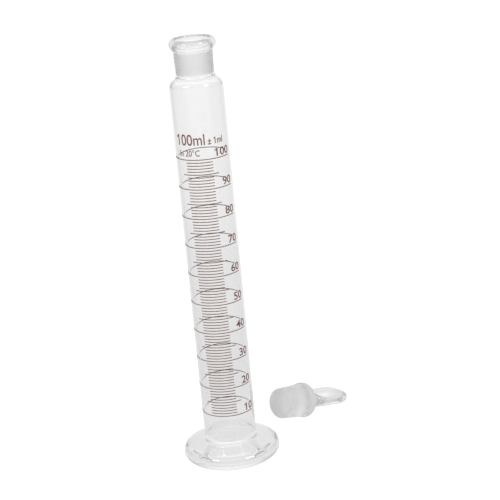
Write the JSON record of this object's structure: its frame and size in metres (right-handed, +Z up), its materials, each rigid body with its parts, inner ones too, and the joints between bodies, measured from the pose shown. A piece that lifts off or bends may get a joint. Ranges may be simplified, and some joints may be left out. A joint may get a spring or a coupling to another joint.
{
  "type": "stoppered graduated cylinder",
  "caption": "Clear glass measuring cylinder with a round foot, fired scale, rounded shoulder and ground socket neck, with its ground stopper lying beside it.",
  "frame": {"origin": "centre of the foot's flat underside, on the cylinder's axis", "axes": "+Z up along the cylinder's axis, -Y out of the front of the scale, +X to the right of someone reading it"},
  "size_m": [0.0909, 0.107, 0.2459],
  "materials": {
    "clear_glass": "clear, fire-polished, with a faint grey-green cast in thick sections",
    "ground_glass": "finely ground, frosted inside the socket below its rim, and all over the stopper's plug and bulge",
    "enamel": "opaque red-brown fired enamel, satin"
  },
  "bodies": {
    "cylinder": {"foot": "clear_glass", "barrel": "clear_glass", "socket_neck": "ground_glass", "ring_10_ml": "enamel", "ring_20_ml": "enamel", "ring_30_ml": "enamel", "ring_40_ml": "enamel", "ring_50_ml": "enamel", "ring_60_ml": "enamel", "ring_70_ml": "enamel", "ring_80_ml": "enamel", "ring_90_ml": "enamel", "ring_100_ml": "enamel", "line_15_ml": "enamel", "line_25_ml": "enamel", "line_35_ml": "enamel", "line_45_ml": "enamel", "line_55_ml": "enamel", "line_65_ml": "enamel", "line_75_ml": "enamel", "line_85_ml": "enamel", "line_95_ml": "enamel"},
    "stopper": {"stopper_plug": "ground_glass", "stopper_tab": "clear_glass"}
  },
  "joints": [
    {"name": "stopper_carry", "type": "hinge", "parent": "cylinder", "child": "stopper", "pos_m": [-0.04938, -0.06089, 0.12338], "axis": [0.7624, -0.6469, -0.0141], "range_deg": [0, 103.01]}
  ]
}
